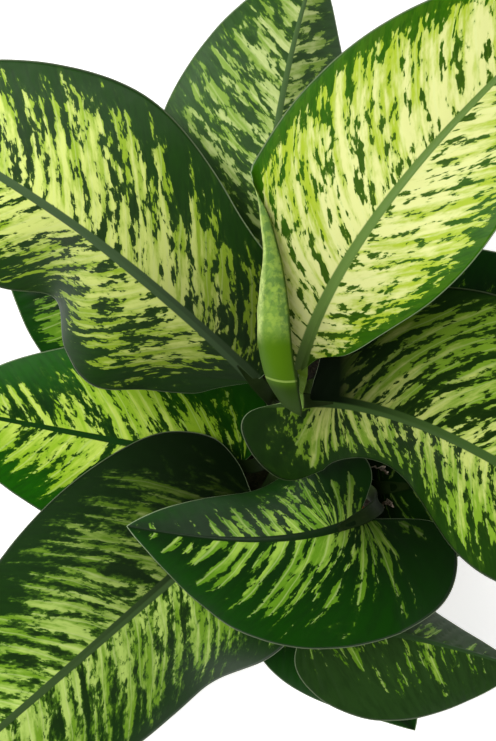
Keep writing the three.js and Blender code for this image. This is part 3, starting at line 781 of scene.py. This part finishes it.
def midrib_length(leaf):
    line = bent(*midrib(leaf), np.linspace(0, 1, 60)[:, None])
    return np.linalg.norm(np.diff(line, axis=0), axis=1).sum()


def along_vein(x, y, half_width, fan):
    """Where the lateral vein of a point leaves the midrib, and how far along the vein the point lies. The
    veins bend toward the tip, and those before the place called fan spread from it into the basal lobe."""
    lean = VEIN_LEAN + VEIN_BEND * y / half_width
    start = x - y * lean - fan
    reach = np.hypot(x - np.maximum(start, 0) - fan, y)
    turn = np.arctan2(y, x - fan) - np.arctan2(1, lean)
    return fan + np.where(start > 0, start, -FAN_SIZE * turn * reach / (reach + FAN_CORE)), reach


def blade_half(leaf, sign, s, t):
    """Points of one half of a blade, at share s of the margin's run and share t of the way out to it. Also
    how far each point is from the midrib and from the margin, and its place on the lateral veins."""
    half = leaf["left"] if sign > 0 else leaf["right"]
    half_width = leaf["width"] / 2
    margin_x = through(VEIN, ALONG, s) - half.get("back", 0) * through(VEIN, BACK, s)
    margin_y = through(VEIN, ACROSS, s) * half_width * evenly(half.get("wide", (1, 1)), s)
    x = s + (margin_x - s) * (VEIN_SWEEP * t + (1 - VEIN_SWEEP) * t * t)
    y = margin_y * t

    base, crest, tip = midrib(leaf)
    u = np.clip(x, 0, 1)[..., None]
    at = bent(base, crest, tip, u) + np.minimum(x, 0)[..., None] * 2 * (crest - base)
    run = unit((1 - u) * (crest - base) + u * (tip - crest))
    side = unit(np.cross((0, 0, 1.0), run))
    above = np.cross(run, side)

    fold = np.radians(evenly(half["fold"], x))
    bend = math.radians(half.get("arch", ARCH)) / half_width
    out = (np.sin(fold + bend * y) - np.sin(fold)) / bend
    lift = (np.cos(fold) - np.cos(fold + bend * y)) / bend
    if "roll" in half:
        start = np.clip(evenly(half["roll"]["start"], 2 * s), 0.05, 1)
        turn_y = start * margin_y
        ease = np.clip((1 - start) / ROLL_EASE, 0, 1)
        strip = np.maximum((1 - start) * margin_y, ROLL_NARROWEST)
        roll = ease * ease * (3 - 2 * ease) * math.radians(half["roll"]["turn"]) / strip + bend
        angle = fold + bend * turn_y
        beyond = y > turn_y
        roll_out = (np.sin(angle) - np.sin(fold)) / bend + (
            np.sin(angle + roll * (y - turn_y)) - np.sin(angle)) / roll
        roll_lift = (np.cos(fold) - np.cos(angle)) / bend + (
            np.cos(angle) - np.cos(angle + roll * (y - turn_y))) / roll
        out = np.where(beyond, roll_out, out)
        lift = np.where(beyond, roll_lift, lift)
    points = at + sign * out[..., None] * side + lift[..., None] * above
    length = midrib_length(leaf)
    start, reach = along_vein(x * length, y, half_width, half.get("fan", 0))
    return points, y, (1 - t) * np.hypot((margin_x - s) * length, margin_y), start, reach


def blade_pattern(name, leaf):
    """The blade's middle surface, with what the blade tree and the finishes read on each point: vein =
    (where its vein leaves the midrib, distance along it, distance to the margin), share = (s, t, distance
    to the midrib). Distances are below 0 on the right half."""
    shares = np.linspace(0, 1, COLUMNS + 1)
    rows = (np.arange(1, ROWS) / ROWS) ** ROW_CROWDING
    length = midrib_length(leaf)
    s = rows[:, None] + 0 * shares[None, 1:]
    t = 0 * rows[:, None] + shares[None, 1:]
    left = blade_half(leaf, 1, s, t)
    middle = blade_half(leaf, 1, rows[:, None], 0 * rows[:, None])
    right = blade_half(leaf, -1, s, t)

    def joined(k, sign):
        return np.concatenate([left[k][:, ::-1], middle[k], right[k] * sign], axis=1)

    points, across, rim, start, reach = (joined(k, sign) for k, sign in enumerate((1, -1, 1, 1, -1)))
    count = 2 * COLUMNS + 1
    flat = points.reshape(-1, 3)
    flat = np.concatenate([[leaf["base"]], flat, [leaf["tip"]]]) * MM
    vein = np.stack([start, reach, rim], -1).reshape(-1, 3)
    vein = np.concatenate([[(0, 0, 0)], vein, [(length, 0, 0)]]) * MM
    signed = np.concatenate([shares[:0:-1], [0], -shares[1:]])
    share = np.stack([np.broadcast_to(rows[:, None], across.shape),
                      np.broadcast_to(signed[None, :], across.shape), across * MM], -1).reshape(-1, 3)
    share = np.concatenate([[(0, 0, 0)], share, [(1, 0, 0)]])
    faces = []
    for c in range(count - 1):
        faces.append((0, 2 + c, 1 + c))
        for r in range(ROWS - 2):
            a = 1 + r * count + c
            faces.append((a, a + 1, a + 1 + count, a + count))
        a = 1 + (ROWS - 2) * count + c
        faces.append((a, a + 1, len(flat) - 1))
    piece = piece_from(name, flat, faces)
    for key, values in (("vein", vein), ("share", share)):
        attribute = piece.data.attributes.new(key, "FLOAT_VECTOR", "POINT")
        attribute.data.foreach_set("vector", values.astype(np.float32).ravel())
    return piece


def blade_tree():
    """Gives a blade's middle surface its lateral veins, waves, midrib and thickness."""
    measures = ("Thickness", "Keel Depth", "Keel Tip Depth", "Keel Width", "Vein Spacing", "Vein Depth",
                "Wave Height", "Wave Size", "Seed")
    maker, (surface, thickness, keel, keel_tip, keel_width, spacing, vein_depth, wave_height, wave_size,
            seed, face, underside) = tree_of("veined_blade", (
                ("Middle Surface", "Geometry"), *((name, "Float") for name in measures),
                ("Face", "Material"), ("Underside", "Material")))

    def stored(name):
        return maker.parts(maker.add("GeometryNodeInputNamedAttribute", {"data_type": "FLOAT_VECTOR"},
                                     {"Name": name}))

    start, _, _ = stored("vein")
    s, t, across = stored("share")
    share = abs(t)
    inside = share.rising(0.04, 0.2) * (1 - share.rising(0.8, 1.0)) * (1 - s.rising(0.85, 1.0))
    hollow = abs((start / spacing * math.pi).sine()) ** 0.6
    ribs = (hollow - 0.7) * vein_depth * inside
    place = maker.add("GeometryNodeInputPosition")
    shifted = maker.add("ShaderNodeVectorMath", {"operation": "ADD"}, {0: place, 1: maker.vector(seed, 0, 0)})
    wave = maker.noise(shifted, 1 / wave_size, 1.0)
    waves = (wave - 0.5) * 2 * wave_height * (share ** 1.6) * share.rising(0.1, 0.6)
    groove = (1 - abs(across).rising(0.2 * MM, GROOVE_WIDTH * MM)) * -GROOVE_DEPTH * MM * (1 - s * 0.7)
    relief = ribs + waves + groove
    closing = 1 - share ** EDGE_SHARPNESS
    thin = thickness / 2 * closing * s.rising(0, 0.01) * (1 - s.rising(0.99, 1.0))
    depth = keel + (keel_tip - keel) * s
    ridge = 1 - (abs(across) / (keel_width * (1.05 - s * 0.75))).rising(0, 1)
    keeled = depth * ridge * closing * s.rising(0, 0.01) * (1 - s.rising(0.97, 1.0))
    normal = maker.add("GeometryNodeInputNormal")

    def moved(geometry, distance):
        offset = maker.add("ShaderNodeVectorMath", {"operation": "SCALE"}, {0: normal, 3: distance})
        return maker.add("GeometryNodeSetPosition", {}, {"Geometry": geometry, "Offset": offset})

    top = moved(surface, relief + thin)
    low = moved(surface, relief - thin - keeled)
    turned_low = maker.add("GeometryNodeFlipFaces", {}, {"Mesh": low})
    marked = maker.add("GeometryNodeStoreNamedAttribute", {"data_type": "FLOAT", "domain": "FACE"},
                       {"Geometry": turned_low, "Name": "below", "Value": 1.0})
    joined = maker.add("GeometryNodeJoinGeometry")
    for layer in (marked, top):
        maker.tree.links.new(layer.socket, joined.socket.node.inputs[0])
    closed = maker.add("GeometryNodeMergeByDistance", {}, {"Geometry": joined, "Distance": SEAM * MM})
    smooth = maker.add("GeometryNodeSetShadeSmooth", {}, {"Geometry": closed})
    faced = maker.add("GeometryNodeSetMaterial", {}, {"Geometry": smooth, "Material": face})
    is_below = maker.add("GeometryNodeInputNamedAttribute", {"data_type": "FLOAT"}, {"Name": "below"})
    return finished_tree(maker, faced, underside, is_below.maths("GREATER_THAN", is_below, 0.5))


def vein_place(maker):
    """A point's place on its blade: where its vein leaves the midrib, how far along the vein it lies, and
    its distances to the margin and to the midrib; also its shares of the length and of the width."""
    start, reach, rim = maker.parts(maker.add("ShaderNodeAttribute", {"attribute_name": "vein"}, output=1))
    s, t, across = maker.parts(maker.add("ShaderNodeAttribute", {"attribute_name": "share"}, output=1))
    return start, reach, rim, abs(across), s, abs(t)


def light_zone(maker, look, blur=0.03):
    """1 in the light streaks and 0 in the green, and the level that this is cut from. Long streaks follow
    the lateral veins, flecks break them, and all of it fades toward the margin and the tip."""
    start, reach, rim, _, s, share = vein_place(maker)
    seed = look["seed"]
    wander = maker.noise(maker.vector(start * 32, reach * 16, seed + 3), 1.0, 2, 0.5) - 0.5
    vein = start + wander * (14 * MM)
    row = (vein * (2 * math.pi / (look["spacing"] * MM))).sine()
    size = look["size"]
    streak = maker.noise(maker.vector(vein * (105 / size), reach * (17 / size), seed), 1.0, 1, 0.5)
    fleck = maker.noise(maker.vector(vein * (215 / size), reach * (80 / size), seed + 11), 1.0, 2, 0.6)
    ragged = maker.noise(maker.vector(vein * 430, reach * 230, seed + 23), 1.0, 3, 0.65)
    fade = share.rising(look["reach"] - 0.35, look["reach"] + 0.25)
    end = s.rising(look["end"] - 0.2, look["end"] + 0.15)
    near = s.rising(0.25, 0.0) * look["near"]
    level = (look["light"] - near - fade * 0.55 - end * 0.45 + row * look["row"]
             + (streak - 0.5) * look["streak"] + (fleck - 0.5) * look["fleck"] + (ragged - 0.5) * 0.8)
    inner = (rim + (ragged - 0.5) * (14 * MM)).rising((look["border"] - 1) * MM, (look["border"] + 1) * MM)
    return level.rising(-blur, blur) * inner, level, row


def rib_stripe(maker, look):
    _, _, _, across, s, _ = vein_place(maker)
    half_rib = (1 - s * (1 - RIB_TIP_SHARE)) * (look["rib_width"] * MM / 2)
    return 1 - (across / half_rib).rising(0.85, 1.12)


def painted_shade_over(maker, look):
    """How much painted shade of the crown a point gets: most at the blade's base."""
    _, reach, _, _, s, _ = vein_place(maker)
    left, right, over = look["painted_base_shade"]
    half = reach.rising(-1 * MM, 1 * MM)
    return (half * (left - right) + right) * s.rising(over, 0.0)


def face_finish(name, look):
    vivid, shade, rib, lime, pale = (linear(*look[key]) for key in ("vivid", "shade", "rib", "lime", "pale"))

    def colour(maker):
        start, reach, rim, _, s, share = vein_place(maker)
        zone, level, row = light_zone(maker, look)
        seed = look["seed"]
        tone = maker.noise(maker.vector(start * 130, reach * 13, seed + 31), 1.0, 2, 0.6)
        blotch = maker.noise(maker.vector(start * 300, reach * 90, seed + 37), 1.0, 3, 0.6)
        cream = ((tone - 0.5) * 2.4 + (blotch - 0.5) * 0.9 + look["cream"] + (0.45 - share) * 0.7
                 + (level - 0.15).limited() * 0.5 - s.rising(0.35, 0.0) * look["near"])
        light = maker.mix(cream.rising(0.1, 0.9), lime, pale)
        edged = maker.mix(level.rising(0.14, 0.0) * 0.45, light, linear(*look["between"]))
        # The greens run from shade by the midrib to vivid at the margin; shade is greyer, in part a painted
        # sheen.
        deep = maker.mix(share.rising(0.25, 0.85), shade, vivid)
        mottle = maker.noise(maker.vector(start * 260, reach * 70, seed + 41), 1.0, 3, 0.6)
        greens = maker.mix(mottle.rising(0.4, 0.7) * 0.3, deep, linear(12, 30, 8))
        haloed = maker.mix(level.rising(-0.24, 0.0) * look["soft"], greens, linear(*look["between"]))
        blade = maker.mix(zone, haloed, edged)
        veined = maker.mix(row.rising(0.9, 1.0) * zone * 0.25, blade, linear(206, 216, 150))
        ribbed = maker.mix(rib_stripe(maker, look), veined, rib)
        # Painted shade of the crown: the blade darkens toward its base.
        shade_painted = maker.mix(painted_shade_over(maker, look), ribbed, linear(5, 14, 3))
        edge = rim.rising(1.0 * MM, 0.5 * MM)
        return maker.mix(edge * 0.7, shade_painted, linear(150, 168, 128))

    def roughness(maker):
        # Rougher where the shade of the crown is painted, so that it shines less there.
        return maker.noise(object_place(maker), 160, 2, 0.5) * 0.12 + 0.38 + painted_shade_over(maker, look) * 0.5

    def relief(maker):
        start, reach, _, _, _, _ = vein_place(maker)
        zone, _, _ = light_zone(maker, look, blur=0.08)
        cells = maker.noise(maker.vector(start * 700, reach * 300, 0.0), 1.0, 2, 0.6)
        return maker.bump(cells * 0.3 + zone * 0.3, 0.2, 0.3 * MM)

    return finish_with(f"{name}_face", colour, roughness, relief, {"Specular IOR Level": LEAF_SHEEN})


SHEATH_OLIVE_FROM = 70 * MM
SHEATH_OLIVE_BELOW = 55 * MM
SHEATH_RIM_MIDDLE = (-17 * MM, 35.4 * MM)
SHEATH_RIM_BOW = 17.2


def rolled_sheath(maker, base):
    """The youngest blade's margin rolls over into a sheath: lumpy and yellow-green with a pale left edge,
    olive toward the petiole, where the sheath's thin pale rim crosses it."""
    x, y, _ = maker.parts(object_place(maker))
    lumps = maker.noise(object_place(maker), 230, 3, 0.6)
    lumpy = maker.mix(lumps.rising(0.42, 0.62) * 0.4, base, linear(158, 182, 72))
    leftward, _, _ = maker.parts(maker.add("ShaderNodeTexCoord", output=1))
    edge = leftward.rising(-0.6, -0.95) * (lumps.rising(0.35, 0.6) * 0.5 + 0.4)
    pale = maker.mix(edge, lumpy, linear(196, 214, 128))
    olive = maker.mix(y.rising(SHEATH_OLIVE_FROM, SHEATH_OLIVE_BELOW), pale, linear(70, 104, 8))
    middle, low = SHEATH_RIM_MIDDLE
    beside = x - middle
    above_rim = y - low - beside * beside * SHEATH_RIM_BOW
    darker = maker.mix(above_rim.rising(2 * MM, -6 * MM) * 0.75, olive, linear(22, 44, 2))
    return maker.mix(abs(above_rim).rising(0.8 * MM, 0.4 * MM) * 0.6, darker, linear(150, 176, 84))


def underside_finish(name, look):
    vivid = linear(*look["vivid"])

    def colour(maker):
        start, reach, _, _, _, _ = vein_place(maker)
        zone, _, _ = light_zone(maker, look, blur=0.3)
        mottle = maker.noise(maker.vector(start * 240, reach * 60, look["seed"] + 51), 1.0, 4, 0.65)
        dull = maker.mix(0.45, linear(104, 132, 68), vivid)
        base = maker.mix(zone * 0.6, dull, linear(*look["below"]))
        mottled = maker.mix(mottle.rising(0.45, 0.75) * 0.25, base, linear(150, 174, 96))
        ribbed = maker.mix(rib_stripe(maker, look) * 0.7, mottled, linear(124, 150, 82))
        return rolled_sheath(maker, ribbed) if name == "leaf_a" else ribbed

    def relief(maker):
        start, reach, _, _, _, _ = vein_place(maker)
        cells = maker.noise(maker.vector(start * 500, reach * 160, 0.0), 1.0, 3, 0.6)
        return maker.bump(cells, 0.2, 0.3 * MM)

    return finish_with(f"{name}_underside", colour, lambda maker: 0.62, relief,
                       {"Specular IOR Level": LEAF_SHEEN})


PETIOLE_WIDTH = 13.0
PETIOLE_NECK = 9.5
PETIOLE_DEPTH = 7.0
PETIOLE_INTO_BLADE = 16.0
CLASP_SHARE = 0.1
CLASP_DEPTH = 4.5
SHEATH_SHARE = 0.3
SHEATH_CHANNEL = 2.2
NECK_CHANNEL = 0.8
KEEL_END_SHARE = 0.45
KEEL_END_DEPTH = 4.0
SINK_FROM = 0.8
SINK_OVER = 0.3
BACK_WIDTH = 0.92
BACK_ROUND = 0.72
PETIOLE_STATIONS = 44
ARC_POINTS = 12


def mixed(a, b, share):
    return a + (b - a) * share


def cane_at(cane, height):
    """The point of a cane's middle line at this height, found by halving."""
    line = [Vector(cane[key]) for key in ("foot", "bend", "top")]
    low, high = 0.0, 1.0
    for _ in range(30):
        u = (low + high) / 2
        if bent(*line, u).z < height:
            low = u
        else:
            high = u
    return bent(*line, low)


def petiole(name, leaf):
    """The petiole: a crescent that comes out of the cane and closes to a channelled half round at the
    blade."""
    stem = leaf["stem"]
    cane = CANES[stem["cane"]]
    angle = math.radians(stem["azimuth"])
    outward = Vector((math.cos(angle), math.sin(angle), 0))
    base, crest = Vector(leaf["base"]), Vector(leaf["crest"])
    into = (crest - base).normalized()
    foot = cane_at(cane, stem["height"]) + outward * (cane["radius"] + PETIOLE_DEPTH / 3)
    risen = foot + Vector((0, 0, stem["rise"])) + outward * 3
    neck = base - into * stem["lean"]
    points, faces, runs = [], [], []
    stations = [k / PETIOLE_STATIONS for k in range(PETIOLE_STATIONS + 1)] + [1.2, 1.4, 1.6, 1.8, 2.0]
    for u in stations:
        v = min(u, 1)
        at = foot * (1 - v) ** 3 + risen * 3 * v * (1 - v) ** 2 + neck * 3 * v * v * (1 - v) + base * v**3
        run = ((risen - foot) * (1 - v) ** 2 + (neck - risen) * 2 * v * (1 - v)
               + (base - neck) * v * v).normalized()
        ending = max(u - 1, 0)
        at = at + into * (ending * PETIOLE_INTO_BLADE)
        heading = outward.lerp(into, v)
        heading.z = 0
        side = Vector((0, 0, 1)).cross(heading.normalized())
        side = (side - run * side.dot(run)).normalized()
        inward = run.cross(side)
        opened = min(max((u - SHEATH_SHARE) / (1 - SHEATH_SHARE), 0), 1)
        taper = mixed(1, KEEL_END_SHARE, ending)
        clasp = max(1 - u / CLASP_SHARE, 0) ** 2
        at = at - outward * (CLASP_DEPTH * clasp)
        half = mixed(PETIOLE_WIDTH, PETIOLE_NECK, opened) / 2 * taper
        depth = mixed(PETIOLE_DEPTH, KEEL_END_DEPTH, ending) * (1 - clasp / 2)
        channel = mixed(SHEATH_CHANNEL, NECK_CHANNEL, opened) * taper
        sunk = KEEL_DEPTH / 2 * min(max((u - SINK_FROM) / SINK_OVER, 0), 1)
        ring = []
        for k in range(ARC_POINTS):
            share = -1 + 2 * k / (ARC_POINTS - 1)
            ring.append((share * half, depth / 2 - channel * (1 - share * share)))
        for k in reversed(range(ARC_POINTS)):
            share = BACK_WIDTH * (-1 + 2 * k / (ARC_POINTS - 1))
            ring.append((share * half, -depth / 2 + depth * BACK_ROUND * share * share))
        points += [at + side * x + inward * (y - sunk) for x, y in reversed(ring)]
        runs += [u] * len(ring)
    sides = 2 * ARC_POINTS
    for r in range(len(stations) - 1):
        for k in range(sides):
            a, b = r * sides + k, r * sides + (k + 1) % sides
            faces.append((a, b, b + sides, a + sides))
    faces.append(tuple(reversed(range(sides))))
    faces.append(tuple(range(len(points) - sides, len(points))))
    piece = piece_from(name, [p * MM for p in points], faces)
    piece.data.attributes.new("run", "FLOAT", "POINT").data.foreach_set("value", runs)
    return piece


def petiole_finish(name, look):
    def colour(maker):
        place = object_place(maker)
        run = maker.add("ShaderNodeAttribute", {"attribute_name": "run"}, output=2)
        streaks = maker.noise(place, 120, 4, 0.6)
        marbling = maker.noise(place, 340, 3, 0.6)
        stalk = linear(*look["stalk"])
        base = maker.mix(streaks.rising(0.4, 0.62) * 0.3, stalk, linear(112, 138, 62))
        marbled = maker.mix(marbling.rising(0.6, 0.68) * 0.3, base, linear(150, 166, 104))
        # Painted shade of the crown: toward the blade the petiole turns almost black.
        start, end = look["crown"]
        return maker.mix(run.rising(start, end) * 0.95, marbled, linear(8, 20, 4))

    return finish_with(f"{name}_petiole", colour, lambda maker: 0.6,
                       grain_of(500, 3, 0.6, 0.25, 0.4 * MM), {"Specular IOR Level": LEAF_SHEEN})


blade_grower = blade_tree()
for name, leaf in LEAVES.items():
    look = leaf["look"]
    pattern = blade_pattern("pattern", leaf)
    face = face_finish(name, look)
    pattern.data.materials.append(face)
    blade = grown(f"{name}_blade", pattern, blade_grower, thickness=BLADE_THICKNESS * MM,
                  keel_depth=KEEL_DEPTH * MM, keel_tip_depth=KEEL_TIP_DEPTH * MM,
                  keel_width=KEEL_WIDTH * MM, vein_spacing=look["spacing"] * MM,
                  vein_depth=look["relief"] * MM, wave_height=WAVE_HEIGHT * MM, wave_size=WAVE_SIZE * MM,
                  seed=look["seed"], face=face, underside=underside_finish(name, look))
    bpy.data.objects.remove(pattern)
    stalk = petiole(f"{name}_stalk", leaf)
    stalk.data.materials.append(petiole_finish(name, look))
    for piece in (blade, stalk):
        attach(piece, "root")
        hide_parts(name)
